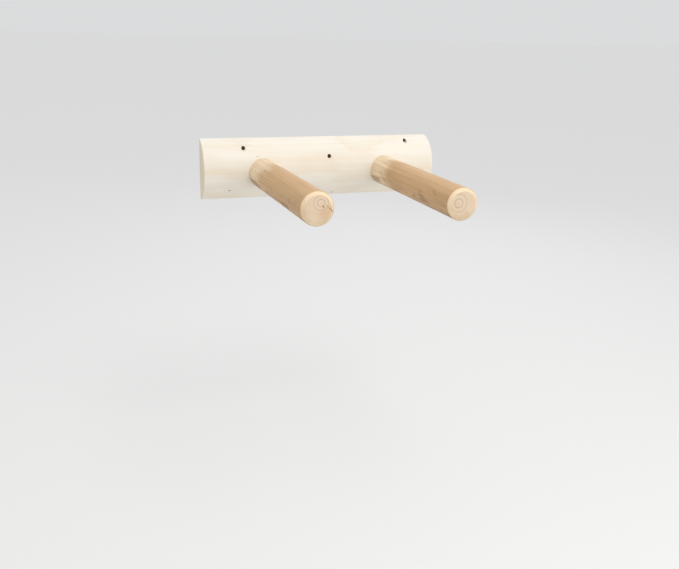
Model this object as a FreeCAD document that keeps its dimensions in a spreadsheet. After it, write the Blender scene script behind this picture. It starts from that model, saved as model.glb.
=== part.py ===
"""Bicycle wall rack: half a log screwed flat to a wall, with two round pegs that carry a bicycle's top tube.

Row frame in millimetres. The origin is the middle of the sawn back face, +X runs along the log to the right,
+Y runs into the wall and +Z is up. The log's round side and both pegs point along -Y.
"""

import FreeCAD, Part
import math
import os
import Sketcher

OUT = "parts"
SHEET = "dims"
FULL_TURN = 360
HEXAGON_SIDES = 6
DRIVE_LOBES = 6
X_AXIS = FreeCAD.Vector(1, 0, 0)
Z_AXIS = FreeCAD.Vector(0, 0, 1)

# alias, value and meaning of each driving dimension, in millimetres unless the meaning says otherwise
DIMENSIONS = (
    ("rail_length", 520, "length of the half log"),
    ("log_radius", 66.5, "radius of the whole log before it was sawn"),
    ("rail_depth", 56, "sawn back face to the crown of the half log"),
    ("rail_ease", 1.5, "rounding of all the half log's edges"),
    ("overshoot", 3, "how far a cut starts outside the wood"),
    ("peg_diameter", 62, "diameter of a peg"),
    ("peg_reach", 437, "wall to the front face of a peg, along the peg"),
    ("peg_chamfer", 6, "bevel round a peg's front face"),
    ("peg_root_ease", 1, "bevel round a peg's root"),
    ("peg_spacing", 275, "axis to axis of the two pegs"),
    ("peg_shift", 3.5, "middle of the pair of pegs, right of the half log's middle"),
    ("peg_drop", 4.5, "half log's middle down to a peg's axis, at the wall"),
    ("left_rake", 1.8, "degrees by which the left peg rises towards its front"),
    ("right_rake", 1.2, "degrees by which the right peg rises towards its front"),
    ("socket_slack", 0.2, "gap between peg and socket, on diameter"),
    ("web", 18, "wall to the floor of a socket, along the peg"),
    ("coach_recess", 27, "diameter of the recess for a coach screw's head"),
    ("coach_sink", 9, "depth of that recess"),
    ("coach_hole", 8.5, "clearance hole for a coach screw"),
    ("coach_diameter", 8, "coach screw across its thread"),
    ("coach_length", 80, "coach screw from under its head to its tip"),
    ("coach_tip", 7, "length of a coach screw's point"),
    ("coach_head", 5.5, "height of its hexagon head"),
    ("coach_flats", 13, "hexagon head across its flats"),
    ("coach_crown", 12.2, "diameter left flat on the hexagon head"),
    ("crown_angle", 30, "degrees of the bevel on the head's corners"),
    ("pilot_slack", 0.1, "gap between coach screw and peg, on diameter"),
    ("pilot_over", 1, "pilot hole past the coach screw's tip"),
    ("washer_diameter", 24, "outside of a washer"),
    ("washer_hole", 8.4, "hole of a washer"),
    ("washer_thick", 2, "thickness of a washer"),
    ("wall_pitch", 187, "middle wall screw to either outer one, along the half log"),
    ("wall_shift", 14.2, "middle wall screw, right of the half log's middle"),
    ("left_height", 48, "left wall screw above the half log's middle"),
    ("middle_height", 29.2, "middle wall screw above the half log's middle"),
    ("right_height", 55, "right wall screw above the half log's middle"),
    ("left_seat", 28.5, "wall to the face of the left wall screw's head"),
    ("middle_seat", 45, "wall to the face of the middle wall screw's head"),
    ("right_seat", 17, "wall to the face of the right wall screw's head"),
    ("screw_diameter", 4.5, "wall screw across its thread"),
    ("screw_shank", 3.2, "wall screw's plain shank"),
    ("screw_bite", 45, "length of a wall screw behind the back face"),
    ("screw_tip", 7, "length of a screw's point"),
    ("screw_point", 0.6, "blunt end of a screw's point, on diameter"),
    ("screw_head", 8.6, "diameter of a wall screw's countersunk head"),
    ("screw_rim", 0.6, "straight rim above the head's cone"),
    ("screw_hole", 5, "clearance hole for a wall screw"),
    ("seat_bore", 9, "diameter of the hole that a screw head is sunk in"),
    ("drive_core", 2.9, "six-lobed recess across its core"),
    ("drive_lobe", 1.1, "diameter of one lobe of the recess"),
    ("drive_depth", 2.4, "depth of the recess"),
)

PEG_SIDES = (("left", -1), ("right", 1))

# name, and steps of wall_pitch from the middle screw
WALL_SCREWS = (("left", -1), ("middle", 0), ("right", 1))

doc = FreeCAD.newDocument("bicycle_wall_rack")
sheet = doc.addObject("Spreadsheet::Sheet", SHEET)


def fill_sheet():
    for row, (alias, value, meaning) in enumerate(DIMENSIONS, start=1):
        sheet.set(f"A{row}", meaning)
        sheet.set(f"B{row}", str(value))
        sheet.setAlias(f"B{row}", alias)
    doc.recompute()


def value_of(owner, expression):
    """The number that an expression on the sheet gives now."""
    found = owner.evalExpression(expression)
    return float(getattr(found, "Value", found))


def peg_x(side):
    """Expression for the X of a peg's axis; side is -1 on the left and 1 on the right."""
    return f"dims.peg_shift + {side} * dims.peg_spacing / 2"


def peg_tilt(side_name):
    """Expression for the turn about X that gives a peg its rake."""
    return f"-dims.{side_name}_rake"


def screw_x(step):
    """Expression for the X of a wall screw's axis."""
    return f"dims.wall_shift + {step} * dims.wall_pitch"


# ---- bodies, sketches and features ----


def new_body(label):
    body = doc.addObject("PartDesign::Body", label + "_body")
    body.Label = label
    return body


def new_sketch(body, name, role):
    """A sketch on one of the body's own origin planes."""
    plane = next(feature for feature in body.Origin.OriginFeatures if feature.Role == role)
    sketch = body.newObject("Sketcher::SketchObject", name)
    sketch.AttachmentSupport = [(plane, "")]
    sketch.MapMode = "FlatFace"
    return sketch


def size_constraint(sketch, expression, *constraint):
    """A dimensional constraint whose size is bound to the sheet."""
    index = sketch.addConstraint(Sketcher.Constraint(*constraint, value_of(sketch, expression)))
    sketch.setExpression(f"Constraints[{index}]", expression)


def closed_outline(sketch, corners):
    """Straight lines through corners, each a pair of expressions; "0" puts a corner on the sketch's axis."""
    at = [FreeCAD.Vector(value_of(sketch, x), value_of(sketch, y), 0) for x, y in corners]
    following = at[1:] + at[:1]
    for start, end in zip(at, following):
        sketch.addGeometry(Part.LineSegment(start, end))
    for i in range(len(at)):
        sketch.addConstraint(Sketcher.Constraint("Coincident", i, 2, (i + 1) % len(at), 1))
    for i, (x, y) in enumerate(corners):
        if x == "0":
            sketch.addConstraint(Sketcher.Constraint("PointOnObject", i, 1, -2))
        else:
            size_constraint(sketch, x, "DistanceX", i, 1)
        if y == "0":
            sketch.addConstraint(Sketcher.Constraint("PointOnObject", i, 1, -1))
        else:
            size_constraint(sketch, y, "DistanceY", i, 1)


def turned(body, name, corners):
    """A solid of revolution about the body's Y axis, from corners (radius, y)."""
    sketch = new_sketch(body, name + "_profile", "XY_Plane")
    closed_outline(sketch, corners)
    solid = body.newObject("PartDesign::Revolution", name)
    solid.Profile = sketch
    solid.ReferenceAxis = (sketch, ["V_Axis"])
    solid.Angle = FULL_TURN
    return solid


def require_cut(body, before, name):
    """Stops the build if the newest feature took nothing away."""
    doc.recompute()
    if body.Shape.Volume >= before:
        raise RuntimeError(f"{body.Label}: {name} cuts nothing")


def bored(body, name, corners, x, z, rake="0"):
    """A turned cut about an axis that leaves the wall at (x, z), from corners (radius, y along that axis)."""
    doc.recompute()
    before = body.Shape.Volume
    sketch = new_sketch(body, name + "_profile", "XY_Plane")
    sketch.AttachmentOffset = FreeCAD.Placement(FreeCAD.Vector(), FreeCAD.Rotation(X_AXIS, 1))
    sketch.setExpression("AttachmentOffset.Base.x", x)
    sketch.setExpression("AttachmentOffset.Base.z", z)
    sketch.setExpression("AttachmentOffset.Rotation.Angle", rake)
    closed_outline(sketch, corners)
    cut = body.newObject("PartDesign::Groove", name)
    cut.Profile = sketch
    cut.ReferenceAxis = (sketch, ["V_Axis"])
    cut.Angle = FULL_TURN
    require_cut(body, before, name)


def pocketed(body, name, diameter, x, level, depth):
    """A round pocket cut into a face that looks along -Y, at the given level in front of the wall."""
    doc.recompute()
    before = body.Shape.Volume
    sketch = new_sketch(body, name + "_profile", "XZ_Plane")
    sketch.setExpression("AttachmentOffset.Base.z", level)
    middle = FreeCAD.Vector(value_of(sketch, x), 0, 0)
    sketch.addGeometry(Part.Circle(middle, Z_AXIS, value_of(sketch, diameter) / 2))
    sketch.addConstraint(Sketcher.Constraint("PointOnObject", 0, 3, -1))
    size_constraint(sketch, diameter, "Diameter", 0)
    if x == "0":
        sketch.addConstraint(Sketcher.Constraint("PointOnObject", 0, 3, -2))
    else:
        size_constraint(sketch, x, "DistanceX", 0, 3)
    cut = body.newObject("PartDesign::Pocket", name)
    cut.Profile = sketch
    cut.setExpression("Length", depth)
    require_cut(body, before, name)
    return cut


def place(body, x, z, rake=None):
    """Puts a body that was made about the Y axis on an axis that leaves the wall at (x, z)."""
    body.setExpression("Placement.Base.x", x)
    body.setExpression("Placement.Base.z", z)
    if rake:
        body.Placement.Rotation = FreeCAD.Rotation(X_AXIS, 1)
        body.setExpression("Placement.Rotation.Angle", rake)


# ---- the pieces ----

PEG_Z = "-dims.peg_drop"
COACH_UNDER_HEAD = "-(dims.coach_sink - dims.washer_thick)"


def make_back_rail():
    """The half log, with a blind socket for each peg and a stepped hole for each wall screw."""
    body = new_body("back_rail")
    sketch = new_sketch(body, "half_log_section", "YZ_Plane")
    radius = value_of(sketch, "dims.log_radius")
    centre = FreeCAD.Vector(value_of(sketch, "dims.log_radius - dims.rail_depth"), 0, 0)
    half_angle = math.pi - math.acos(centre.x / radius)
    log = Part.ArcOfCircle(Part.Circle(centre, Z_AXIS, radius), half_angle, 2 * math.pi - half_angle)
    sketch.addGeometry(log)
    sketch.addGeometry(Part.LineSegment(log.EndPoint, log.StartPoint))
    sketch.addConstraint(Sketcher.Constraint("Coincident", 0, 2, 1, 1))
    sketch.addConstraint(Sketcher.Constraint("Coincident", 1, 2, 0, 1))
    sketch.addConstraint(Sketcher.Constraint("PointOnObject", 1, 1, -2))
    sketch.addConstraint(Sketcher.Constraint("PointOnObject", 1, 2, -2))
    sketch.addConstraint(Sketcher.Constraint("PointOnObject", 0, 3, -1))
    size_constraint(sketch, "dims.log_radius", "Radius", 0)
    size_constraint(sketch, "dims.log_radius - dims.rail_depth", "DistanceX", 0, 3)

    pad = body.newObject("PartDesign::Pad", "half_log")
    pad.Profile = sketch
    pad.SideType = "Symmetric"
    pad.setExpression("Length", "dims.rail_length")
    doc.recompute()

    ease = body.newObject("PartDesign::Fillet", "eased_edges")
    ease.Base = (pad, [f"Edge{i + 1}" for i in range(len(pad.Shape.Edges))])
    ease.setExpression("Radius", "dims.rail_ease")

    recess = "dims.coach_recess / 2"
    hole = "dims.coach_hole / 2"
    socket = "(dims.peg_diameter + dims.socket_slack) / 2"
    front = "-(dims.rail_depth + dims.overshoot)"
    for side_name, side in PEG_SIDES:
        steps = (
            ("0", "dims.overshoot"),
            (recess, "dims.overshoot"),
            (recess, "-dims.coach_sink"),
            (hole, "-dims.coach_sink"),
            (hole, "-dims.web"),
            (socket, "-dims.web"),
            (socket, front),
            ("0", front),
        )
        bored(body, f"{side_name}_peg_socket", steps, peg_x(side), PEG_Z, peg_tilt(side_name))

    clear = "dims.screw_hole / 2"
    seat = "dims.seat_bore / 2"
    for screw_name, step in WALL_SCREWS:
        cone_top = f"-(dims.{screw_name}_seat - dims.screw_rim)"
        cone_foot = f"{cone_top} + {seat} - {clear}"
        steps = (
            ("0", "dims.overshoot"),
            (clear, "dims.overshoot"),
            (clear, cone_foot),
            (seat, cone_top),
            (seat, front),
            ("0", front),
        )
        bored(body, f"{screw_name}_screw_hole", steps, screw_x(step), f"dims.{screw_name}_height")
    return body


def make_peg(side_name, side):
    """A round peg with a bevelled front and a pilot hole for its coach screw in the root."""
    radius = "dims.peg_diameter / 2"
    pilot = "(dims.coach_diameter + dims.pilot_slack) / 2"
    pilot_end = f"{COACH_UNDER_HEAD} - dims.coach_length - dims.pilot_over"
    body = new_body(f"{side_name}_peg")
    corners = (
        (pilot, "-dims.web"),
        (f"{radius} - dims.peg_root_ease", "-dims.web"),
        (radius, "-(dims.web + dims.peg_root_ease)"),
        (radius, "-(dims.peg_reach - dims.peg_chamfer)"),
        (f"{radius} - dims.peg_chamfer", "-dims.peg_reach"),
        ("0", "-dims.peg_reach"),
        ("0", pilot_end),
        (pilot, f"{pilot_end} + dims.coach_tip"),
    )
    turned(body, f"{side_name}_peg_turning", corners)
    place(body, peg_x(side), PEG_Z, peg_tilt(side_name))
    return body


def hexagon(sketch, across_flats):
    """A regular hexagon round the sketch's origin, with its corners on a construction circle."""
    flats = value_of(sketch, across_flats)
    corner = FreeCAD.Vector(flats / 3**0.5, 0, 0)
    turn = FreeCAD.Rotation(Z_AXIS, FULL_TURN / HEXAGON_SIDES)
    for _ in range(HEXAGON_SIDES):
        following = turn.multVec(corner)
        sketch.addGeometry(Part.LineSegment(corner, following))
        corner = following
    circle = sketch.addGeometry(Part.Circle(FreeCAD.Vector(), Z_AXIS, corner.Length), True)
    sketch.addConstraint(Sketcher.Constraint("Coincident", circle, 3, -1, 1))
    for i in range(HEXAGON_SIDES):
        sketch.addConstraint(Sketcher.Constraint("Coincident", i, 2, (i + 1) % HEXAGON_SIDES, 1))
        sketch.addConstraint(Sketcher.Constraint("PointOnObject", i, 1, circle))
    for i in range(1, HEXAGON_SIDES):
        sketch.addConstraint(Sketcher.Constraint("Equal", 0, i))
    sketch.addConstraint(Sketcher.Constraint("PointOnObject", 0, 1, -1))
    size_constraint(sketch, f"2 * {across_flats} / sqrt(3)", "Diameter", circle)


def make_coach_screw(side_name, side):
    """The hexagon-headed coach screw that draws a peg into its socket from behind."""
    radius = "dims.coach_diameter / 2"
    tip = f"{COACH_UNDER_HEAD} - dims.coach_length"
    body = new_body(f"{side_name}_peg_screw")
    corners = (
        ("0", COACH_UNDER_HEAD),
        (radius, COACH_UNDER_HEAD),
        (radius, f"{tip} + dims.coach_tip"),
        ("dims.screw_point / 2", tip),
        ("0", tip),
    )
    turned(body, f"{side_name}_coach_shank", corners)

    sketch = new_sketch(body, f"{side_name}_hexagon", "XZ_Plane")
    hexagon(sketch, "dims.coach_flats")
    sketch.setExpression("AttachmentOffset.Base.z", f"-({COACH_UNDER_HEAD})")
    head = body.newObject("PartDesign::Pad", f"{side_name}_coach_head")
    head.Profile = sketch
    head.Reversed = True
    head.setExpression("Length", "dims.coach_head")

    head_face = f"{COACH_UNDER_HEAD} + dims.coach_head"
    bevel_drop = "(dims.coach_flats - dims.coach_crown / 2) * tan(dims.crown_angle * 1deg)"
    bevel = (
        ("dims.coach_crown / 2", head_face),
        ("dims.coach_flats", head_face),
        ("dims.coach_flats", f"{head_face} - {bevel_drop}"),
    )
    bored(body, f"{side_name}_head_bevel", bevel, "0", "0")
    place(body, peg_x(side), PEG_Z, peg_tilt(side_name))
    return body


def make_washer(side_name, side):
    """The flat washer under a coach screw's head, on the floor of its recess."""
    body = new_body(f"{side_name}_peg_washer")
    corners = (
        ("dims.washer_hole / 2", "-dims.coach_sink"),
        ("dims.washer_diameter / 2", "-dims.coach_sink"),
        ("dims.washer_diameter / 2", COACH_UNDER_HEAD),
        ("dims.washer_hole / 2", COACH_UNDER_HEAD),
    )
    turned(body, f"{side_name}_washer_ring", corners)
    place(body, peg_x(side), PEG_Z, peg_tilt(side_name))
    return body


def make_wall_screw(screw_name, step):
    """A countersunk wood screw: plain shank through the rail, thread from the back face into the wall."""
    head = "dims.screw_head / 2"
    shank = "dims.screw_shank / 2"
    thread = "dims.screw_diameter / 2"
    face = f"dims.{screw_name}_seat"
    cone_top = f"-({face} - dims.screw_rim)"
    body = new_body(f"wall_screw_{screw_name}")
    corners = (
        ("0", f"-{face}"),
        (head, f"-{face}"),
        (head, cone_top),
        (shank, f"{cone_top} + {head} - {shank}"),
        (shank, "0"),
        (thread, "0"),
        (thread, "dims.screw_bite - dims.screw_tip"),
        ("dims.screw_point / 2", "dims.screw_bite"),
        ("0", "dims.screw_bite"),
    )
    turned(body, f"{screw_name}_screw_turning", corners)
    pocketed(body, f"{screw_name}_drive_core", "dims.drive_core", "0", face, "dims.drive_depth")
    lobe = pocketed(
        body, f"{screw_name}_drive_lobe", "dims.drive_lobe", "dims.drive_core / 2", face, "dims.drive_depth"
    )
    lobes = body.newObject("PartDesign::PolarPattern", f"{screw_name}_drive_lobes")
    lobes.Originals = [lobe]
    lobes.Axis = (lobe.Profile[0], ["N_Axis"])
    lobes.Angle = FULL_TURN
    lobes.Occurrences = DRIVE_LOBES
    body.Tip = lobes
    place(body, screw_x(step), f"dims.{screw_name}_height")
    return body


def make_all():
    fill_sheet()
    bodies = [make_back_rail()]
    for side_name, side in PEG_SIDES:
        bodies.append(make_peg(side_name, side))
        bodies.append(make_coach_screw(side_name, side))
        bodies.append(make_washer(side_name, side))
    for screw in WALL_SCREWS:
        bodies.append(make_wall_screw(*screw))
    return bodies


def check(bodies):
    """Stops the build if any object failed or any piece isn't one sound solid."""
    for item in doc.Objects:
        if "Invalid" in item.State or "Error" in item.State:
            raise RuntimeError(f"{item.Label} is {item.State}")
    for body in bodies:
        shape = body.Shape
        if shape.isNull() or not shape.isValid() or len(shape.Solids) != 1:
            raise RuntimeError(f"{body.Label} isn't one valid solid")


def write(bodies):
    os.makedirs(OUT, exist_ok=True)
    for body in bodies:
        body.Shape.exportStep(os.path.join(OUT, body.Label + ".step"))
        box = body.Shape.BoundBox
        print(f"{body.Label}: {box.XLength:.1f} x {box.YLength:.1f} x {box.ZLength:.1f} mm")


pieces = make_all()
doc.recompute()
check(pieces)
write(pieces)
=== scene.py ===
import math

import bmesh
import bpy
import numpy as np
from bpy.props import FloatProperty, FloatVectorProperty, IntProperty, PointerProperty
from bpy.types import Operator, Panel, PropertyGroup
from mathutils import Matrix, Vector, noise


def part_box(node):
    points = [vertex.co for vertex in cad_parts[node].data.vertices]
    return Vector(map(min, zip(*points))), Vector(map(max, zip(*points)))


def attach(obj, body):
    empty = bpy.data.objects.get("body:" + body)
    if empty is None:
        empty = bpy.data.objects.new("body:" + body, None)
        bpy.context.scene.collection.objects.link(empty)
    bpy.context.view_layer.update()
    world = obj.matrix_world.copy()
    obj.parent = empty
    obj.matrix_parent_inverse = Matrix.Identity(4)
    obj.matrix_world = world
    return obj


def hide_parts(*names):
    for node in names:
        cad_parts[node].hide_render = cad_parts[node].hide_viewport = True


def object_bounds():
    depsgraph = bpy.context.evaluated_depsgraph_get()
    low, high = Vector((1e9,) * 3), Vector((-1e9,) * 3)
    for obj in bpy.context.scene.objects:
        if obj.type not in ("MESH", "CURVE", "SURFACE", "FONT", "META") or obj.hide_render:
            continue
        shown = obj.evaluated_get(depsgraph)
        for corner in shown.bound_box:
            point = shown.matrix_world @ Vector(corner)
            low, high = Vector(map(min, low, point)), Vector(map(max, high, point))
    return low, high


bl_info = {
    "name": "Half-log bicycle rack",
    "version": (1, 0, 0),
    "blender": (4, 5, 0),
    "location": "3D View > Sidebar > Wall Rack",
    "description": "Builds a half-log wall rack with two round pegs and its screws on the rack's fixed frame",
    "category": "Add Mesh",
}

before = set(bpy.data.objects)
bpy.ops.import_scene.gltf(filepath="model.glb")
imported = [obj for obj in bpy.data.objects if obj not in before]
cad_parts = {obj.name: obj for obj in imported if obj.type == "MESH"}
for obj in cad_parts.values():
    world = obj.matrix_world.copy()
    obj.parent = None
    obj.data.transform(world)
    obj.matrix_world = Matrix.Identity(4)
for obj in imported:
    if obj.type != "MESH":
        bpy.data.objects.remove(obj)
CAD_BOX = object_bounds()

MM = 0.001
TURN = 2 * math.pi
BODY = "root"
SIDES = ("left", "right")
SCREW_PLACES = ("left", "middle", "right")
RIGHT = Vector((1, 0, 0))
OUT = Vector((0, -1, 0))

BEYOND = 4 * MM  # how far a cutter starts and ends outside the wood
CUTTER_TURN = 0.3  # turns a cutter's corners clear of the grid it cuts, in radians times its corners
FACET_SIDES = 8  # the largest facet that weld fills
CREASE = math.radians(32)  # edges sharper than this stay sharp

# the sockets of a Mix node that mixes colours
MIX_AMOUNT, MIX_FIRST, MIX_SECOND, MIX_RESULT = 0, 6, 7, 2

# corners of the rail's outline: round its bark side, round one eased edge and up its back; and rows along it
BARK_CORNERS, EDGE_CORNERS, BACK_CORNERS, RAIL_ROWS = 168, 6, 44, 132
END_SHARES = (0.15, 0.45, 0.75, 0.93)  # the rings that fill a sawn end of the rail, as shares of its outline

# corners round a peg, rows along it, and the rings that fill its root and its front
PEG_CORNERS, PEG_ROWS = 176, 118
ROOT_SHARES = (0.35, 0.65, 0.9)
FRONT_SHARES = (0.88, 0.72, 0.55, 0.38, 0.22, 0.08)

CRACK_STEPS, CRACK_LEVELS = 34, 12
SHORT_CRACK = 0.35  # depth of a crack that stops inside the front, beside one that reaches the rim

WALL_SCREW_CORNERS, COACH_CORNERS, WASHER_CORNERS = 72, 96, 112
THREAD_STEPS = 12  # rings of a thread in one turn
LOBES = 6
LOBE_DEPTH = 0.182  # hollow between two lobes, as a share of the recess's radius
CROWN_ANGLE = math.radians(30)  # bevel of the hexagon head's corners
HALF_FLAT = math.pi / 6  # half of the turn that one flat of the hexagon takes

# waves per metre along and across the grain, of each pattern in the wood
LUMPS = (4, 32)
FIBRES = (14, 1100)
STREAKS = (2.2, 120)
CLOUDS = (9, 26)
SKIN = (16, 55)
HEART_WAVES = 5  # waves per metre of the heart line's wander
KERF_WAVES = (190, 14, 9)  # saw marks: waves per metre along the rail, how much they slant, and along a mark


# ---- what the frame says ----


def node_points(node):
    """Every corner of a CAD node's mesh, as rows of metres."""
    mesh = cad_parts[node].data
    points = np.zeros(len(mesh.vertices) * 3)
    mesh.vertices.foreach_get("co", points)
    return points.reshape(-1, 3)


def box_middle(node):
    low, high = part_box(node)
    return (low + high) / 2


class Axis:
    """A line that leaves the wall, with distances along it counted from the wall."""

    def __init__(self, point, along=OUT):
        self.along = Vector(along).normalized()
        self.start = Vector(point) - self.along * (point[1] / self.along.y)
        self.right = RIGHT
        self.up = self.along.cross(self.right).normalized()

    def points(self, along, right, up):
        """Rows of metres for numbers or arrays given along, right of and above the line."""
        along, right, up = np.broadcast_arrays(along, right, up)
        return (
            np.array(self.start)
            + along[..., None] * np.array(self.along)
            + right[..., None] * np.array(self.right)
            + up[..., None] * np.array(self.up)
        )

    def along_of(self, points):
        """How far along the line each point lies."""
        return (points - np.array(self.start)) @ np.array(self.along)

    def away_of(self, points):
        """How far from the line each point lies."""
        return np.linalg.norm(np.cross(points - np.array(self.start), np.array(self.along)), axis=-1)

    def reach(self, node):
        """How far along the line a CAD node begins and ends."""
        along = self.along_of(node_points(node))
        return float(along.min()), float(along.max())

    def radius(self, node, low=-1.0, high=1.0):
        """How far from the line a CAD node reaches, between two distances along it."""
        points = node_points(node)
        along = self.along_of(points)
        return float(self.away_of(points)[(along >= low) & (along <= high)].max())


def peg_axis(side):
    """The line of a peg, through the middles of its washer and of its front face."""
    peg = f"{side}_peg"
    washer = box_middle(f"{peg}_washer")
    rough = Axis(washer, box_middle(peg) - washer)
    points = node_points(peg)
    face = points[rough.along_of(points) > rough.reach(peg)[1] - MM]
    return Axis(washer, Vector((face.min(0) + face.max(0)) / 2) - washer)


def screw_axis(place):
    return Axis(box_middle(f"wall_screw_{place}"))


def log_radius():
    """Radius of the half log's round side, from its crown and its highest point well off the back face."""
    points = node_points("back_rail")
    crown = points[:, 1].min()
    round_side = points[points[:, 1] < crown / 4]
    rise = round_side[round_side[:, 2].argmax()]
    deep = rise[1] - crown
    return float((deep**2 + rise[2] ** 2) / (2 * deep))


# ---- sizes and colours that a user may change ----


def length(name, description, default):
    return FloatProperty(
        name=name, description=description, default=default, min=0, unit="LENGTH", precision=5
    )


def colour(name, description, default):
    return FloatVectorProperty(
        name=name, description=description, default=default, size=3, min=0, max=1, subtype="COLOR"
    )


class RailSizes(PropertyGroup):
    log: length("Log radius", "Radius of the whole log", log_radius())
    ease: length("Edge rounding", "Rounding of the rail's edges", 1.5 * MM)
    dent: length("Unevenness", "Deepest hollow left by peeling", 0.35 * MM)
    socket_slack: length("Socket gap", "Gap all round a peg in its socket", 0.1 * MM)
    recess: length("Recess", "Diameter of the recess for a coach screw's head", 27 * MM)
    coach_hole: length("Coach hole", "Diameter of the hole for a coach screw", 8.5 * MM)
    screw_hole: length("Screw hole", "Diameter of the hole for a wall screw", 5 * MM)
    seat: length("Screw seat", "Diameter of the hole a wall screw's head is sunk in", 9 * MM)


class PegSizes(PropertyGroup):
    root_bevel: length("Root bevel", "Bevel round a peg's root", 1 * MM)
    dent: length("Unevenness", "Deepest hollow left by peeling", 0.4 * MM)
    rasp: length("Uneven bevel", "How much the front bevel's inner edge wanders", 0.7 * MM)
    pilot_slack: length("Pilot gap", "Gap all round a coach screw in a peg", 0.05 * MM)
    crack: length("Drying crack", "Width of the left peg's drying cracks at their widest", 1.2 * MM)
    crack_run: length("Crack length", "How far a drying crack runs back along the peg", 48 * MM)


class ScrewSizes(PropertyGroup):
    shank: length("Shank", "Diameter of a wall screw's plain shank", 3.2 * MM)
    core: length("Core", "Diameter of a wall screw's thread at its root", 2.8 * MM)
    pitch: length("Pitch", "Rise of a wall screw's thread in one turn", 2.2 * MM)
    rim: length("Head rim", "Straight rim above a wall screw head's cone", 0.6 * MM)
    tip: length("Point", "Length of a screw's point", 7 * MM)
    drive: length("Drive", "Diameter of the six-lobed recess", 4 * MM)
    drive_depth: length("Drive depth", "Depth of the six-lobed recess", 2.4 * MM)
    coach_core: length("Coach core", "Diameter of a coach screw's thread at its root", 5.8 * MM)
    coach_pitch: length("Coach pitch", "Rise of a coach screw's thread in one turn", 3.6 * MM)
    coach_shank: length("Coach shank", "Plain length under a coach screw's head", 22 * MM)
    flats: length("Flats", "Coach screw's head across its flats", 13 * MM)
    crown: length("Crown", "Diameter left flat on a coach screw's head", 12.2 * MM)


class Finish(PropertyGroup):
    rail_early: colour("Rail wood", "Pale wood of the rail", (0.84, 0.80, 0.72))
    rail_late: colour("Rail grain", "Darker grain lines of the rail", (0.76, 0.60, 0.39))
    rail_end: colour("Rail ends", "Sawn ends of the rail", (0.78, 0.70, 0.55))
    peg_early: colour("Peg wood", "Peeled sides of the pegs", (0.63, 0.41, 0.21))
    peg_late: colour("Peg grain", "Darker grain lines of the pegs", (0.40, 0.22, 0.10))
    peg_fresh: colour("Fresh wood", "Shaved roots and rasped bevels of the pegs", (0.88, 0.71, 0.48))
    peg_end: colour("Peg ends", "Sawn fronts of the pegs", (0.73, 0.575, 0.41))
    # the bast tone, which is also laid on thicker towards the bottom of the pegs as painted shade
    bast_and_shade: colour("Bast", "Brown skin left under the bark", (0.26, 0.14, 0.065))
    knot: colour("Knot", "Heart of a knot", (0.34, 0.20, 0.10))
    heartwood: colour("Heartwood", "Greyer wood round the heart of a peg", (0.70, 0.60, 0.47))
    stain: colour("Stain", "Resin stain beside the cracks", (0.60, 0.34, 0.16))
    zinc: colour("Zinc", "Plating of the coach screws and washers", (0.62, 0.63, 0.62))
    phosphate: colour("Phosphate", "Dark coating of the wall screws", (0.085, 0.078, 0.066))
    floor: colour("Floor", "Plain pale floor", (0.78, 0.78, 0.77))


class StageSizes(PropertyGroup):
    drop: length("Floor drop", "Floor below the rack's lowest point", 0.62)
    lens: FloatProperty(name="Lens", description="Camera's focal length, in millimetres", default=42.3)
    floor_size: length("Floor size", "Side of the square floor", 60.0)
    sky: FloatProperty(name="Sky", description="Brightness of the sky at the horizon", default=0.72)
    key: FloatProperty(name="Key", description="Power of the light overhead", default=14, unit="POWER")
    fill: FloatProperty(name="Fill", description="Power of the light in front", default=9.5, unit="POWER")
    back: FloatProperty(name="Back", description="Power of the light behind", default=5, unit="POWER")
    seed: IntProperty(name="Seed", description="Start of the patterns of hollows and cracks", default=7)


GROUPS = {
    "rack_rail": RailSizes,
    "rack_peg": PegSizes,
    "rack_screw": ScrewSizes,
    "rack_finish": Finish,
    "rack_stage": StageSizes,
}


# ---- shaders ----


class Wire:
    """A node's output that takes part in Python arithmetic on single values."""

    def __init__(self, shade, socket):
        self.shade = shade
        self.socket = socket

    def maths(self, operation, *values):
        return self.shade.maths(operation, *values)

    def __add__(self, other):
        return self.maths("ADD", self, other)

    __radd__ = __add__

    def __mul__(self, other):
        return self.maths("MULTIPLY", self, other)

    __rmul__ = __mul__

    def __sub__(self, other):
        return self.maths("SUBTRACT", self, other)

    def __rsub__(self, other):
        return self.maths("SUBTRACT", other, self)

    def __truediv__(self, other):
        return self.maths("DIVIDE", self, other)

    def __abs__(self):
        return self.maths("ABSOLUTE", self)

    def larger(self, other):
        return self.maths("MAXIMUM", self, other)

    def smaller(self, other):
        return self.maths("MINIMUM", self, other)

    def fraction(self):
        return self.maths("FRACT", self)

    def floor(self):
        return self.maths("FLOOR", self)

    def between(self, low, high):
        """0 at low and 1 at high, eased at both ends; low may be the larger."""
        names = {"Value": self, "From Min": low, "From Max": high}
        return self.shade.node("ShaderNodeMapRange", {"interpolation_type": "SMOOTHSTEP"}, **names)


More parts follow.
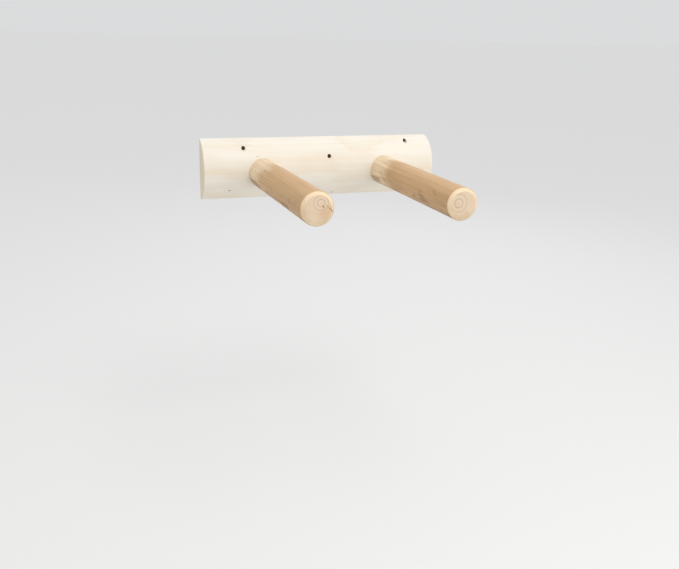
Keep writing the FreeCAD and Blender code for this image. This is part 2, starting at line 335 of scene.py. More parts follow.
class Shade:
    """One material's nodes, built by calls that hand back wires."""

    def __init__(self, name, tree=None):
        if tree is None:
            self.material = bpy.data.materials.new(name)
            self.material.use_nodes = True
            tree = self.material.node_tree
            self.surface = tree.nodes["Principled BSDF"]
        self.tree = tree

    def join(self, socket, value):
        if isinstance(value, Wire):
            self.tree.links.new(value.socket, socket)
        else:
            socket.default_value = value

    def node(self, kind, settings=None, *values, out=0, **named):
        """A node with its settings, then its inputs in order or by name. Gives one of its outputs."""
        made = self.tree.nodes.new(kind)
        for key, value in (settings or {}).items():
            setattr(made, key, value)
        for socket, value in zip(made.inputs, values):
            self.join(socket, value)
        for key, value in named.items():
            self.join(made.inputs[key], value)
        return Wire(self, made.outputs[out])

    def vector(self, operation, *values, out=0):
        return self.node("ShaderNodeVectorMath", {"operation": operation}, *values, out=out)

    def combine(self, x, y, z):
        return self.node("ShaderNodeCombineXYZ", None, x, y, z)

    def maths(self, operation, *values):
        return self.node("ShaderNodeMath", {"operation": operation}, *values)

    def split(self, vector):
        """The three parts of a vector or colour."""
        first = self.node("ShaderNodeSeparateXYZ", None, vector)
        return [Wire(self, output) for output in first.socket.node.outputs]

    def noise(self, where, scale, detail, rough=0.5, twist=0.0, out=0):
        inputs = {"Vector": where, "Scale": scale, "Detail": detail, "Roughness": rough, "Distortion": twist}
        return self.node("ShaderNodeTexNoise", None, out=out, **inputs)

    def mix(self, amount, first, second, blend="MIX"):
        """One colour over another."""
        made = self.tree.nodes.new("ShaderNodeMix")
        made.data_type = "RGBA"
        made.blend_type = blend
        self.join(made.inputs[MIX_AMOUNT], amount)
        self.join(made.inputs[MIX_FIRST], rgba(first))
        self.join(made.inputs[MIX_SECOND], rgba(second))
        return Wire(self, made.outputs[MIX_RESULT])

    def set(self, **inputs):
        """Inputs of the surface shader; an underscore in a name stands for a space."""
        for key, value in inputs.items():
            self.join(self.surface.inputs[key.replace("_", " ")], rgba(value))

    def bump(self, height, distance, strength):
        inputs = {"Strength": strength, "Distance": distance, "Height": height}
        self.set(Normal=self.node("ShaderNodeBump", None, **inputs))


def rgba(value):
    """A colour of three parts as the four that a socket takes; anything else unchanged."""
    if isinstance(value, Wire) or not hasattr(value, "__len__"):
        return value
    return (*value, 1.0) if len(value) == 3 else tuple(value)


class Timber:
    """How one piece of round timber grew and was worked.

    heart is its heart line, across from and above its start. tones are its early wood, late wood, freshly
    cut wood and sawn ends. Each knot has a distance along, a turn and a size. slow holds the pace and reach of
    its slow-grown rings, shaved the start and end of a shaved stretch, and stain a place on the front and its
    reach. Next comes the share of brown bast left, laid on thicker towards the bottom as painted shade, and
    ripped wood has saw marks on its back.
    """

    def __init__(
        self,
        start,
        along,
        heart,
        tones,
        knots,
        slow,
        *,
        spacing=2.3 * MM,
        wander=1.2 * MM,
        bast_and_shade=0.0,
        shaved=None,
        stain=None,
        ripped=False,
        offset=0.0,
    ):
        self.start = Vector(start)
        self.along = Vector(along).normalized()
        self.right = OUT if abs(self.along.x) > 0.9 else RIGHT
        self.up = self.along.cross(self.right).normalized()
        self.up *= math.copysign(1.0, self.up.z)
        self.heart = heart
        self.early, self.late, self.fresh, self.sawn = tones
        self.knots = knots
        self.slow = slow
        self.spacing = spacing
        self.wander = wander
        self.bast_and_shade = bast_and_shade
        self.shaved = shaved
        self.stain = stain
        self.ripped = ripped
        self.offset = offset


def wood(name, timber, look):
    """Softwood cut from one solid block of grain, so that rings, flames and fibres meet at every edge."""
    s = Shade(name)
    place = s.vector("SUBTRACT", s.node("ShaderNodeTexCoord", None, out="Object"), timber.start)
    u = s.vector("DOT_PRODUCT", place, timber.along, out="Value")
    v = s.vector("DOT_PRODUCT", place, timber.right, out="Value")
    w = s.vector("DOT_PRODUCT", place, timber.up, out="Value")

    def drawn_out(waves, offset=timber.offset):
        """A place for noise that is drawn out along the grain."""
        along, across = waves
        return s.combine(u * along + offset, v * across, w * across)

    # distance from the wandering heart line, which sets the rings
    drift = s.split(s.noise(s.combine(u * HEART_WAVES + timber.offset, 0.0, 0.0), 1.0, 1.0, out="Color"))
    away_v = v - timber.heart[0] + (drift[0] - 0.5) * (2 * timber.wander)
    away_w = w - timber.heart[1] + (drift[1] - 0.5) * (2 * timber.wander)
    growth = s.vector("LENGTH", s.combine(0.0, away_v, away_w), out="Value")
    lumps = s.noise(drawn_out(LUMPS), 1.0, 2.0)
    growth = growth + (lumps - 0.5) * (1.6 * MM)

    # a knot swells the rings round it and has a dark heart
    knot_mask = 0.0
    for knot_u, turn, size in timber.knots:
        across = w * math.cos(turn) - v * math.sin(turn)
        outward = (v * math.cos(turn) + w * math.sin(turn)).between(0.0, 4 * MM)
        aside = s.vector("LENGTH", s.combine(0.0, across, (u - knot_u) * 0.6), out="Value")
        aside = aside + (lumps - 0.5) * (size * 1.2)
        growth = growth + (1 - aside.between(0.0, size * 3.2)) * outward * (size * 0.8)
        heart = (1 - aside.between(size * 0.15, size)) * outward
        knot_mask = heart.larger(knot_mask)

    # each year's ring darkens towards its end, and the years differ
    ring = growth / timber.spacing
    part = ring.fraction()
    late = part.between(0.35, 0.93) * (1 - part.between(0.95, 1.0))
    year = s.node("ShaderNodeTexWhiteNoise", {"noise_dimensions": "1D"}, W=ring.floor())
    late = late * (0.55 + 0.45 * year)

    fibre = s.noise(drawn_out(FIBRES, 0.0), 1.0, 3.0, 0.6)
    streak = s.noise(drawn_out(STREAKS), 1.0, 3.0, 0.55)
    cloud = s.noise(drawn_out(CLOUDS), 1.0, 2.0)
    normal = s.node("ShaderNodeNewGeometry", None, out="Normal")
    facing = abs(s.vector("DOT_PRODUCT", normal, timber.along, out="Value"))
    cut = facing.between(0.45, 0.75)
    front = facing.between(0.80, 0.95)

    side = timber.early
    if timber.shaved:
        start, end = timber.shaved
        side = s.mix((u + (cloud - 0.5) * (2 * (end - start))).between(start, end), timber.fresh, side)
    tone = s.mix(cut, side, timber.fresh)
    tone = s.mix(front, tone, timber.sawn)
    tone = s.mix(cloud.between(0.46, 0.72) * 0.22, tone, timber.late)
    tone = s.mix(late * (0.30 - 0.14 * front), tone, timber.late)

    # the slow-grown rings and the greyer heart show on a sawn end only
    pace, reach = timber.slow
    inner = front * (1 - growth.between(0.35 * reach, reach))
    wave = s.maths("COSINE", growth * (TURN / pace)).between(0.1, 1.0)
    tone = s.mix(inner * 0.3, tone, look.heartwood)
    tone = s.mix(wave * inner * 0.40, tone, timber.late)
    tone = s.mix((streak - 0.38).larger(0.0) * 0.7 * (1 - cut), tone, timber.late)
    tone = s.mix((fibre - 0.5).larger(0.0) * 0.8, tone, timber.late, "MULTIPLY")

    if timber.bast_and_shade:
        patch = s.noise(drawn_out(SKIN), 1.0, 4.0, 0.62, 0.6)
        # brown bast in patches, laid on thicker towards the bottom of the peg: that darkening of the lower
        # side is painted shade
        bast_and_low_shade = (patch - w * 6.5).between(0.52, 0.70) * (1 - cut) * timber.bast_and_shade
        tone = s.mix(bast_and_low_shade, tone, look.bast_and_shade)
    if timber.stain:
        stain_v, stain_w, reach = timber.stain
        apart = s.vector("LENGTH", s.combine(0.0, v - stain_v, w - stain_w), out="Value")
        blot = (1 - (apart + (lumps - 0.5) * (0.9 * reach)).between(0.2 * reach, reach)) * front
        tone = s.mix(blot * 0.42, tone, look.stain)
    tone = s.mix(knot_mask * 0.7, tone, look.knot)

    grain = late * (0.5 - 0.3 * front) + fibre * 0.35 + streak * 0.4
    if timber.ripped:
        along, slant, across = KERF_WAVES
        back = s.split(normal)[1].between(0.90, 0.98)
        kerf = s.noise(s.combine(u * along + w * slant, 0.0, w * across), 1.0, 1.0, 0.5)
        tone = s.mix((0.5 - kerf).larger(0.0) * back * 0.5, tone, timber.late, "MULTIPLY")
        grain = grain + kerf * back * 0.8
    s.set(Base_Color=tone, Roughness=(0.50 + 0.18 * fibre + 0.1 * cut).smaller(1.0), IOR=1.45)
    s.bump(grain, 0.25 * MM, 0.6)
    return s.material


def plated(name, base, gloss=0.26):
    """A thin coating on steel: fine crystals, and clouds of a warmer tint."""
    s = Shade(name)
    place = s.node("ShaderNodeTexCoord", None, out="Object")
    bloom = s.noise(place, 260.0, 3.0, 0.6)
    crystals = s.node("ShaderNodeTexVoronoi", {"feature": "F1"}, Vector=place, Scale=1500.0, out="Color")
    sparkle = s.split(crystals)[0]
    warm = tuple(c * f for c, f in zip(base, (1.05, 0.98, 0.80)))
    tone = s.mix(bloom.between(0.40, 0.66) * 0.55, base, warm)
    s.set(Base_Color=tone, Metallic=1.0, Roughness=gloss + 0.22 * bloom + 0.08 * sparkle)
    s.bump(bloom + sparkle * 0.3, 0.04 * MM, 0.5)
    return s.material


def plain_floor(name, tone):
    s = Shade(name)
    place = s.node("ShaderNodeTexCoord", None, out="Object")
    cloud = s.noise(place, 0.8, 2.0)
    s.set(Base_Color=s.mix(cloud * 0.12, tone, tuple(0.93 * c for c in tone)), Roughness=0.85)
    return s.material


# ---- meshes ----


def loft(rings, loop=False):
    """Points and faces over rings of equal length. A fan closes each end, or a loop joins the two ends."""
    rings = np.asarray(rings, float)
    count, around = rings.shape[:2]
    points = rings.reshape(-1, 3)
    faces = []
    for row in range(count if loop else count - 1):
        here, there = row * around, (row + 1) % count * around
        for i in range(around):
            j = (i + 1) % around
            faces.append((here + i, here + j, there + j, there + i))
    if not loop:
        points = np.vstack([points, rings[0].mean(0), rings[-1].mean(0)])
        first, last, foot = len(points) - 2, len(points) - 1, (count - 1) * around
        for i in range(around):
            j = (i + 1) % around
            faces.append((first, j, i))
            faces.append((last, foot + i, foot + j))
    return points, faces


def mesh_object(name, points, faces):
    """A new object at the frame's origin. A closed one that is inside out is turned right way round."""
    mesh = bpy.data.meshes.new(name)
    mesh.from_pydata([tuple(p) for p in points], [], faces)
    work = bmesh.new()
    work.from_mesh(mesh)
    if all(edge.is_manifold for edge in work.edges) and work.calc_volume(signed=True) < 0:
        bmesh.ops.reverse_faces(work, faces=work.faces)
        work.to_mesh(mesh)
    work.free()
    made = bpy.data.objects.new(name, mesh)
    bpy.context.scene.collection.objects.link(made)
    return made


def cut_away(piece, cutters):
    """Takes closed cutters out of a closed piece and removes them. Each has to leave less of it, closed."""
    for cutter in cutters:
        before = closed_volume(piece)
        modifier = piece.modifiers.new("cut", "BOOLEAN")
        modifier.operation = "DIFFERENCE"
        modifier.solver = "EXACT"
        modifier.object = cutter
        graph = bpy.context.evaluated_depsgraph_get()
        cut = bpy.data.meshes.new_from_object(piece.evaluated_get(graph))
        piece.modifiers.clear()
        old = piece.data
        piece.data = cut
        cut.name = piece.name
        bpy.data.meshes.remove(old)
        weld(cut)
        if closed_volume(piece) >= before:
            raise RuntimeError(f"{cutter.name} cuts nothing from {piece.name}")
        bpy.data.objects.remove(cutter)


def weld(mesh):
    """Joins corners that a cut left almost together, drops slivers and fills any facet left open by one."""
    work = bmesh.new()
    work.from_mesh(mesh)
    bmesh.ops.remove_doubles(work, verts=work.verts, dist=0.002 * MM)
    bmesh.ops.dissolve_degenerate(work, edges=work.edges, dist=0.001 * MM)
    open_edges = [edge for edge in work.edges if edge.is_boundary]
    if open_edges:
        bmesh.ops.holes_fill(work, edges=open_edges, sides=FACET_SIDES)
        bmesh.ops.recalc_face_normals(work, faces=work.faces)
    work.to_mesh(mesh)
    work.free()


def closed_volume(piece):
    """A piece's volume. Stops if its mesh is open or inside out."""
    work = bmesh.new()
    work.from_mesh(piece.data)
    gaps = sum(not edge.is_manifold for edge in work.edges)
    volume = work.calc_volume(signed=True)
    work.free()
    if gaps or volume <= 0:
        raise RuntimeError(f"{piece.name} has {gaps} open edges and a volume of {volume}")
    return volume


def finish_piece(piece, node, material):
    """Gives a piece its material, smooth shading and body, and hides the CAD node it stands for."""
    piece.data.materials.clear()
    piece.data.materials.append(material)
    piece.data.shade_smooth()
    piece.data.set_sharp_from_angle(angle=CREASE)
    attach(piece, BODY)
    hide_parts(node)


def circle_angles(count):
    return np.arange(count) * TURN / count


def ring_at(axis, along, radius, around, turn=0.0):
    """One ring at a distance along an axis; radius is a number or an array of one per corner."""
    angles = circle_angles(around) + turn
    return axis.points(along, radius * np.cos(angles), radius * np.sin(angles))


def cutter(name, axis, profile, around):
    """A solid turned about an axis from (distance along, radius) pairs, to be cut away from a piece."""
    turn = CUTTER_TURN / around
    return mesh_object(name, *loft([ring_at(axis, along, radius, around, turn) for along, radius in profile]))


def ripple(points, scale, seed):
    """Smooth noise from 0 to 1 at each point; scale holds waves per metre along X, Y and Z."""
    shift = Vector((seed, 2 * seed, 3 * seed))
    values = [noise.noise(Vector(p * scale) + shift) for p in points.reshape(-1, 3)]
    return np.clip(np.array(values).reshape(points.shape[:-1]) * 0.5 + 0.5, 0, 1)


def eased(value, low, high):
    """0 at low and 1 at high, smooth at both ends."""
    part = np.clip((value - low) / (high - low), 0, 1)
    return part * part * (3 - 2 * part)


# ---- the rail ----


def rail_section(sizes):
    """The half log's outline as (y, z) rows: the bark side, the low edge, the back, then the top edge."""
    low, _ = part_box("back_rail")
    log, ease = sizes.log, sizes.ease
    centre = log + low.y
    corner_angle = math.acos((centre + ease) / (log - ease))
    start = math.pi - corner_angle
    round_angles = np.linspace(start, TURN - start, BARK_CORNERS)
    edge_angles = np.linspace(-start, 0, EDGE_CORNERS)[1:]
    round_side = [(centre + log * math.cos(a), log * math.sin(a)) for a in round_angles]
    corner_z = math.sqrt((log - ease) ** 2 - (centre + ease) ** 2)
    lower = [(ease * (math.cos(a) - 1), ease * math.sin(a) - corner_z) for a in edge_angles]
    back = [(0.0, z) for z in np.linspace(-corner_z, corner_z, BACK_CORNERS)[1:-1]]
    upper = [(y, -z) for y, z in reversed(lower)]
    return np.array(round_side + lower + back + upper)


def make_rail(sizes, stage):
    """The half log with eased edges, peeling hollows, two stepped peg sockets and three screw holes."""
    low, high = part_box("back_rail")
    centre = np.array([low.y / 2, 0.0])
    outline = rail_section(sizes)
    slopes = np.roll(outline, -1, 0) - np.roll(outline, 1, 0)
    normals = np.stack([slopes[:, 1], -slopes[:, 0]], 1)
    normals /= np.linalg.norm(normals, axis=1)[:, None]
    normals *= np.sign(((outline - centre) * normals).sum(1))[:, None]

    soft = 0.9 * sizes.ease
    end = [(soft * (1 - math.sin(a)), soft * (1 - math.cos(a))) for a in np.linspace(0, math.pi / 2, 5)]
    rows = [(low.x + step, inset) for inset, step in end]
    rows += [(x, 0.0) for x in np.linspace(low.x + soft, high.x - soft, RAIL_ROWS)[1:-1]]
    rows += [(high.x - step, inset) for inset, step in reversed(end)]
    body = [np.column_stack([np.full(len(outline), x), outline - normals * inset]) for x, inset in rows]
    body = np.array(body)

    # peeling hollows on the bark side only, none on the sawn back
    wide = ripple(body, np.array([9.0, 60.0, 60.0]), stage.seed)
    fine = ripple(body, np.array([28.0, 150.0, 150.0]), stage.seed + 3)
    bark_side = eased(-body[..., 1], 1.0 * MM, 9.0 * MM)
    amount = sizes.dent * (0.75 * wide + 0.25 * fine) * bark_side
    body[..., 1:] -= normals * amount[..., None]

    left_end = [shrunk(body[0], centre, share) for share in END_SHARES]
    right_end = [shrunk(body[-1], centre, share) for share in reversed(END_SHARES)]
    piece = mesh_object("half_log_rail", *loft([*left_end, *body, *right_end]))
    cut_away(piece, [peg_socket(side, sizes) for side in SIDES])
    cut_away(piece, [screw_hole(place, sizes) for place in SCREW_PLACES])
    return piece


def shrunk(section, centre, share):
    """A rail section drawn in towards the centre, to fill an end."""
    inner = centre + (section[:, 1:] - centre) * share
    return np.column_stack([section[:, 0], inner])


def peg_socket(side, sizes):
    """The stepped bore of one peg: recess in the back, coach screw's hole, then the blind socket."""
    axis = peg_axis(side)
    peg_root, _ = axis.reach(f"{side}_peg")
    _, recess_floor = axis.reach(f"{side}_peg_washer")
    bore = axis.radius(f"{side}_peg") + sizes.socket_slack
    low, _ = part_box("back_rail")
    profile = (
        (-BEYOND, sizes.recess / 2),
        (recess_floor, sizes.recess / 2),
        (recess_floor, sizes.coach_hole / 2),
        (peg_root, sizes.coach_hole / 2),
        (peg_root, bore),
        (-low.y + BEYOND, bore),
    )
    return cutter(f"{side}_socket_cut", axis, profile, 160)


def screw_hole(place, sizes):
    """The bore of one wall screw: a clearance hole that opens through a cone to the seat of its head."""
    axis = screw_axis(place)
    _, head_face = axis.reach(f"wall_screw_{place}")
    cone_top = head_face - bpy.context.scene.rack_screw.rim
    cone_foot = cone_top - (sizes.seat - sizes.screw_hole) / 2
    low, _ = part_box("back_rail")
    profile = (
        (-BEYOND, sizes.screw_hole / 2),
        (cone_foot, sizes.screw_hole / 2),
        (cone_top, sizes.seat / 2),
        (-low.y + BEYOND, sizes.seat / 2),
    )
    return cutter(f"{place}_screw_cut", axis, profile, 64)


# ---- the pegs ----


def make_peg(side, sizes, stage, heart):
    """A peeled round peg: bevelled root, uneven front bevel and a pilot hole for its coach screw."""
    node = f"{side}_peg"
    axis = peg_axis(side)
    root, front = axis.reach(node)
    radius = axis.radius(node)
    face = axis.radius(node, front - 0.5 * MM, front + 0.5 * MM)
    bevel = radius - face
    flat = face - 0.4 * MM
    root_bevel = sizes.root_bevel
    number = SIDES.index(side)
    profile = [(root, radius * share) for share in ROOT_SHARES]
    profile += [(root, radius - root_bevel), (root + root_bevel, radius)]
    profile += [(along, radius) for along in np.linspace(root + root_bevel, front - bevel, PEG_ROWS)[1:-1]]
    profile += [(front - bevel - 0.5 * MM, radius), (front - bevel + 0.4 * MM, radius - 0.5 * MM)]
    profile += [(front - bevel * part, radius - bevel * (1 - part)) for part in (0.75, 0.5, 0.25)]
    profile += [(front - 0.35 * MM, face + 0.3 * MM), (front, flat)]
    rings = [ring_at(axis, along, size, PEG_CORNERS) for along, size in profile]

    # the front's rings close in on the heart, as the wood's own rings do
    angles = circle_angles(PEG_CORNERS)
    rim = np.stack([flat * np.cos(angles), flat * np.sin(angles)], 1)
    for share in FRONT_SHARES:
        spots = np.array(heart) + (rim - np.array(heart)) * share
        rings.append(axis.points(front, spots[:, 0], spots[:, 1]))
    points = np.array(rings)

    # hollows point at the peg's line, and fade out where the socket grips the root
    offset = points - np.array(axis.start)
    along = offset @ np.array(axis.along)
    outward = offset - along[..., None] * np.array(axis.along)
    size = np.linalg.norm(outward, axis=-1)
    outward /= np.maximum(size, 1e-6)[..., None]
    local = np.stack([outward @ np.array(axis.right), outward @ np.array(axis.up), along], -1)
    wide = ripple(local, np.array([1.1, 1.1, 7.0]), stage.seed + 11 + 5 * number)
    fine = ripple(local, np.array([3.2, 3.2, 26.0]), stage.seed + 12 + 5 * number)
    free = eased(along, 62 * MM, 90 * MM) * eased(size, face - 2 * MM, radius - bevel / 2)
    amount = sizes.dent * (0.7 * wide + 0.3 * fine) * free
    on_bevel = eased(along, front - bevel, front - 0.2 * MM) * eased(size, face * 0.80, face)
    wobble = ripple(local, np.array([1.6, 1.6, 0.0]), stage.seed + 13 + 5 * number)
    amount = amount + sizes.rasp * wobble * on_bevel
    points -= outward * amount[..., None]
    piece = mesh_object(f"{side}_round_peg", *loft(points))

    screw_tip = axis.reach(f"{side}_peg_screw")[1]
    bore = axis.radius(f"{side}_peg_screw", root, screw_tip) + sizes.pilot_slack
    tip = bpy.context.scene.rack_screw.tip
    pilot = ((root - 2 * MM, bore), (screw_tip - tip, bore), (screw_tip + 1 * MM, 0.2 * MM))
    cut_away(piece, [cutter(f"{side}_pilot_cut", axis, pilot, 48)])
    return piece


def drying_crack(number, axis, front, sizes, stage):
    """A thin wedge along one crack of the left peg's front, which closes towards the back."""
    start, end, to_rim = CRACKS[number]
    start, end = np.array(start), np.array(end)
    reach = np.linalg.norm(end - start)
    ray = (end - start) / reach
    square = np.array([-ray[1], ray[0]])
    ahead = 2 * MM
    run = sizes.crack_run * (1.0 if to_rim else SHORT_CRACK)
    rings = []
    for part in np.linspace(0, 1, CRACK_LEVELS):
        near, far = [], []
        for share in np.linspace(0, 1, CRACK_STEPS):
            swell = math.sqrt(share) if to_rim else math.sin(math.pi * share) ** 0.6
            deep = run * (0.15 + 0.85 * swell**3)
            along = front + ahead - part * (ahead + deep)
            sway = noise.noise(Vector((share * 3.5, stage.seed + number, 0.2 * part))) * 1.1 * MM
            half = 0.02 * MM + sizes.crack / 2 * swell * (1 - part) ** 0.7
            spot = start + ray * (share * reach)
            near.append((along, *(spot + square * (sway - half))))
            far.append((along, *(spot + square * (sway + half))))
        rings.append(near + far[::-1])
    ring = np.array(rings)
    points = axis.points(ring[..., 0], ring[..., 1], ring[..., 2])
    return mesh_object(f"crack_cut_{number}", *loft(points))


# ---- the screws and washers ----


def thread_rings(axis, start, end, core, crest, pitch, tip, around):
    """Rings of a thread that tapers to a point. It winds left-handed; a real screw's is right-handed."""
    angles = circle_angles(around)
    rings = []
    count = int(abs(end - start) / pitch * THREAD_STEPS)
    for i, along in enumerate(np.linspace(start, end, count)):
        phase = np.mod(along / pitch + angles / TURN, 1.0)
        ridge = np.clip(1 - np.abs(phase - 0.5) / 0.26, 0, 1)
        lead = min(1.0, i / 6)
        taper = min(1.0, abs(end - along) / tip)
        size = (core + (crest - core) * ridge * lead) * (0.06 + 0.94 * taper)
        rings.append(ring_at(axis, along, size, around))
    return rings


def make_wall_screw(place, sizes):
    """A countersunk wood screw with a six-lobed recess and a real thread."""
    axis = screw_axis(place)
    node = f"wall_screw_{place}"
    tip_end, face = axis.reach(node)
    head = axis.radius(node)
    crest = axis.radius(node, tip_end, 0.0)
    shank = sizes.shank / 2
    around = WALL_SCREW_CORNERS
    lobes = sizes.drive / 2 * (1 - LOBE_DEPTH * (1 - np.cos(LOBES * circle_angles(around))) / 2)
    soft = 0.12 * MM
    cone_top = face - sizes.rim
    rings = [
        ring_at(axis, face - sizes.drive_depth, lobes * 0.4, around),
        ring_at(axis, face - sizes.drive_depth + 0.2 * MM, lobes * 0.94, around),
        ring_at(axis, face - 0.15 * MM, lobes, around),
        ring_at(axis, face, lobes + 0.12 * MM, around),
        ring_at(axis, face, (head - soft + lobes) / 2, around),
        ring_at(axis, face, head - 2 * soft, around),
        ring_at(axis, face - soft, head - soft / 2, around),
        ring_at(axis, face - 1.8 * soft, head, around),
        ring_at(axis, cone_top, head, around),
    ]
    cone_foot = cone_top - (head - shank)
    for part in (0.3, 0.6, 0.85, 1.0):
        along = cone_top + (cone_foot - cone_top) * part
        rings.append(ring_at(axis, along, head + (shank - head) * part, around))
    for along in np.linspace(cone_foot, 0.0, 6)[1:]:
        rings.append(ring_at(axis, along, shank, around))
    rings += thread_rings(axis, -0.2 * MM, tip_end, sizes.core / 2, crest, sizes.pitch, sizes.tip, around)
    return mesh_object(f"{place}_wall_screw", *loft(rings))


def make_coach_screw(side, sizes):
    """A hexagon-headed coach screw: bevelled head, plain shank and a coarse thread in the peg."""
    axis = peg_axis(side)
    node = f"{side}_peg_screw"
    head_face, tip_end = axis.reach(node)
    under, _ = axis.reach(f"{side}_peg_washer")
    around = COACH_CORNERS
    angles = circle_angles(around)
    hexagon = sizes.flats / 2 / np.cos(np.mod(angles + HALF_FLAT, 2 * HALF_FLAT) - HALF_FLAT)
    crest = axis.radius(node, under + 5 * MM, tip_end)
    rings = [ring_at(axis, head_face, sizes.crown / 2 * share, around) for share in (0.3, 0.7, 0.97)]
    for drop in np.array((0.05, 0.2, 0.4, 0.6, 0.85, 1.1)) * MM:
        round_edge = sizes.crown / 2 + drop / math.tan(CROWN_ANGLE)
        rings.append(ring_at(axis, head_face + drop, np.minimum(hexagon, round_edge), around))
    rings.append(ring_at(axis, under - 0.1 * MM, hexagon, around))
    rings.append(ring_at(axis, under, hexagon - 0.15 * MM, around))
    rings.append(ring_at(axis, under, crest + 0.1 * MM, around))
    rings.append(ring_at(axis, under + 0.1 * MM, crest, around))
    plain_end = under + sizes.coach_shank
    for along in np.linspace(under + 2 * MM, plain_end, 6):
        rings.append(ring_at(axis, along, crest, around))
    start = plain_end + 1 * MM
    core = sizes.coach_core / 2
    rings += thread_rings(axis, start, tip_end, core, crest, sizes.coach_pitch, sizes.tip, around)
    return mesh_object(f"{side}_coach_screw", *loft(rings))


def make_washer(side):
    """A pressed flat washer: its outer edge is rounded on one side and its hole on the other."""
    axis = peg_axis(side)
    node = f"{side}_peg_washer"
    near, far = axis.reach(node)
    outer = axis.radius(node)
    inner = float(axis.away_of(node_points(node)).min())
    soft = 0.35 * MM
    turn = np.linspace(0, math.pi / 2, 5)[1:]
    profile = [(near, inner + 0.1 * MM), (near, outer - soft)]
    profile += [(near + soft * (1 - math.cos(a)), outer - soft * (1 - math.sin(a))) for a in turn]
    profile += [(far - 0.1 * MM, outer), (far, outer - 0.1 * MM), (far, inner + soft)]
    profile += [(far - soft * (1 - math.cos(a)), inner + soft * (1 - math.sin(a))) for a in turn]
    profile.append((near + 0.1 * MM, inner))
    rings = [ring_at(axis, along, radius, WASHER_CORNERS) for along, radius in profile]
    return mesh_object(f"{side}_flat_washer", *loft(rings, loop=True))


# ---- how each piece of wood grew ----

# distance along, turn and size of each knot
RAIL_KNOTS = (
    (-0.145, 0.60, 2.0 * MM),
    (0.236, -0.50, 4.0 * MM),
    (-0.205, -0.75, 3.4 * MM),
    (0.03, -1.15, 4.4 * MM),
)
PEG_KNOTS = {
    "left": ((0.155, 2.4, 3.5 * MM), (0.30, -0.7, 3.0 * MM)),
    "right": ((0.21, 3.6, 3.2 * MM), (0.34, 0.5, 3.6 * MM)),
}

# the heart of each peg, right of and above its middle, and the pace and reach of its slow-grown rings
HEARTS = {"left": (5.0 * MM, 10.9 * MM), "right": (-9.7 * MM, 3.6 * MM)}
SLOW_RINGS = {"left": (6.4 * MM, 22 * MM), "right": (8.3 * MM, 28 * MM)}
STAINS = {"left": (13 * MM, -6 * MM, 17 * MM), "right": None}

# start, end and whether it reaches the rim, for each crack in the left peg's front; the places are right of
# and above the peg's middle
CRACKS = (
    ((7.2 * MM, 7.1 * MM), (11.0 * MM, 2.2 * MM), False),
    ((14.6 * MM, 6.8 * MM), (31.5 * MM, -9.9 * MM), True),
)


def rail_timber(look):
    """The rail's grain: one half of a log whose heart lies just behind the sawn face."""
    low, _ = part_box("back_rail")
    heart = low.y + log_radius()
    return Timber(
        (0, 0, 0),
        RIGHT,
        (-heart, 2 * MM),
        (look.rail_early, look.rail_late, look.rail_early, look.rail_end),
        RAIL_KNOTS,
        (7 * MM, 90 * MM),
        wander=3.5 * MM,
        ripped=True,
    )


def peg_timber(side, look):
    axis = peg_axis(side)
    return Timber(
        axis.start,
        axis.along,
        HEARTS[side],
        (look.peg_early, look.peg_late, look.peg_fresh, look.peg_end),
        PEG_KNOTS[side],
        SLOW_RINGS[side],
        spacing=2.1 * MM,
        bast_and_shade=0.62,
        shaved=(80 * MM, 190 * MM),
        stain=STAINS[side],
        offset=3.0 + 4.0 * SIDES.index(side),
    )


# ---- operators ----


class RACK_OT_rail(Operator):
    """Build the half-log rail with its sockets and screw holes"""

    bl_idname = "rack.rail"
    bl_label = "Half-log rail"

    def execute(self, context):
        look = context.scene.rack_finish
        piece = make_rail(context.scene.rack_rail, context.scene.rack_stage)
        finish_piece(piece, "back_rail", wood("peeled_pine", rail_timber(look), look))
        return {"FINISHED"}


class RACK_OT_pegs(Operator):
    """Build the two round pegs, and the drying cracks in the left one"""

    bl_idname = "rack.pegs"
    bl_label = "Round pegs"

    def execute(self, context):
        look = context.scene.rack_finish
        sizes = context.scene.rack_peg
        stage = context.scene.rack_stage
        for side in SIDES:
            piece = make_peg(side, sizes, stage, HEARTS[side])
            if side == "left":
                axis = peg_axis(side)
                _, front = axis.reach("left_peg")
                cut_away(piece, [drying_crack(i, axis, front, sizes, stage) for i in range(len(CRACKS))])
            material = wood(f"{side}_peg_pine", peg_timber(side, look), look)
            finish_piece(piece, f"{side}_peg", material)
        return {"FINISHED"}


class RACK_OT_coach_screws(Operator):
    """Build the coach screws that hold the pegs from behind, and their washers"""

    bl_idname = "rack.coach_screws"
    bl_label = "Coach screws and washers"

    def execute(self, context):
        material = plated("coach_zinc", tuple(context.scene.rack_finish.zinc))
        for side in SIDES:
            screw = make_coach_screw(side, context.scene.rack_screw)
            finish_piece(screw, f"{side}_peg_screw", material)
            finish_piece(make_washer(side), f"{side}_peg_washer", material)
        return {"FINISHED"}


class RACK_OT_wall_screws(Operator):
    """Build the three countersunk screws that hold the rail on the wall"""

    bl_idname = "rack.wall_screws"
    bl_label = "Wall screws"

    def execute(self, context):
        material = plated("dark_phosphate", tuple(context.scene.rack_finish.phosphate), 0.42)
        for place in SCREW_PLACES:
            screw = make_wall_screw(place, context.scene.rack_screw)
            finish_piece(screw, f"wall_screw_{place}", material)
        return {"FINISHED"}


def area_light(name, place, aim, size, power, tone):
    data = bpy.data.lights.new(name, "AREA")
    data.shape = "DISK"
    data.size = size
    data.energy = power
    data.color = tone
    made = bpy.data.objects.new(name, data)
    made.location = place
    made.rotation_euler = (Vector(aim) - Vector(place)).to_track_quat("-Z", "Y").to_euler()
    bpy.context.scene.collection.objects.link(made)


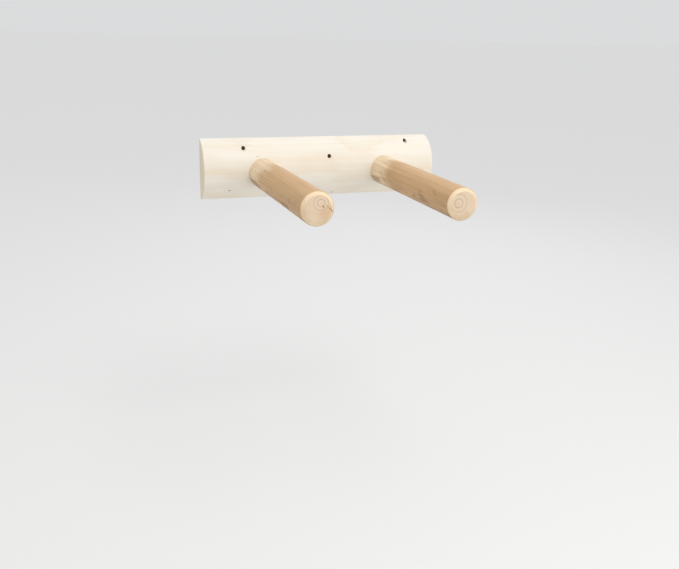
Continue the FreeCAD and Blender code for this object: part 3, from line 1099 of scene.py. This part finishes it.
def studio_sky(strength):
    """A pale sky, half as bright again overhead as at the horizon."""
    sky = bpy.data.worlds.new("studio")
    sky.use_nodes = True
    tree = sky.node_tree
    s = Shade(None, tree)
    upward = s.split(s.node("ShaderNodeTexCoord", None, out="Generated"))[2].larger(0.0)
    background = tree.nodes["Background"]
    background.inputs["Color"].default_value = (0.985, 0.99, 1.0, 1)
    s.join(background.inputs["Strength"], (upward * upward * 0.5 + 1.0) * strength)
    return sky


CAMERA_PLACE = Vector((-0.5403, -1.6906, 0.3254))
CAMERA_LOOK = Vector((0.3191, 0.89118, -0.32244))
CAMERA_ROLL = math.radians(1.92)


class RACK_OT_stage(Operator):
    """Set up the pale floor, the soft lights and the camera"""

    bl_idname = "rack.stage"
    bl_label = "Floor, lights and camera"

    def execute(self, context):
        scene = context.scene
        stage = scene.rack_stage
        low, _ = CAD_BOX
        half = stage.floor_size / 2
        level = low.z - stage.drop
        corners = [(-half, -half, level), (half, -half, level), (half, half, level), (-half, half, level)]
        floor = mesh_object("pale_floor", corners, [(0, 1, 2, 3)])
        floor.data.materials.append(plain_floor("pale_floor", scene.rack_finish.floor))

        area_light("overhead", (0.35, -1.4, 1.9), (0, -0.2, 0), 1.2, stage.key, (1.0, 0.98, 0.95))
        area_light("front_fill", (0.9, -2.4, 0.5), (0, -0.2, 0), 1.4, stage.fill, (1.0, 0.99, 0.97))
        area_light("back_soft", (1.2, 1.8, 1.2), (0, 0, 0), 1.6, stage.back, (0.97, 0.98, 1.0))
        scene.world = studio_sky(stage.sky)
        scene.view_settings.view_transform = "Standard"

        data = bpy.data.cameras.new("studio_camera")
        data.lens = stage.lens
        camera = bpy.data.objects.new("studio_camera", data)
        turn = CAMERA_LOOK.to_track_quat("-Z", "Y").to_matrix() @ Matrix.Rotation(CAMERA_ROLL, 3, "Z")
        camera.matrix_world = Matrix.Translation(CAMERA_PLACE) @ turn.to_4x4()
        scene.collection.objects.link(camera)
        scene.camera = camera
        return {"FINISHED"}


BUILDERS = (RACK_OT_rail, RACK_OT_pegs, RACK_OT_coach_screws, RACK_OT_wall_screws, RACK_OT_stage)


class RACK_PT_sidebar(Panel):
    bl_label = "Half-log rack"
    bl_idname = "RACK_PT_sidebar"
    bl_space_type = "VIEW_3D"
    bl_region_type = "UI"
    bl_category = "Wall Rack"

    def draw(self, context):
        for builder in BUILDERS:
            self.layout.operator(builder.bl_idname)


CLASSES = (*GROUPS.values(), *BUILDERS, RACK_PT_sidebar)


def register():
    for item in CLASSES:
        bpy.utils.register_class(item)
    for name, group in GROUPS.items():
        setattr(bpy.types.Scene, name, PointerProperty(type=group))


def unregister():
    for name in GROUPS:
        delattr(bpy.types.Scene, name)
    for item in reversed(CLASSES):
        bpy.utils.unregister_class(item)


def main():
    register()
    bpy.ops.rack.rail()
    bpy.ops.rack.pegs()
    bpy.ops.rack.coach_screws()
    bpy.ops.rack.wall_screws()
    bpy.ops.rack.stage()


if __name__ == "__main__":
    main()
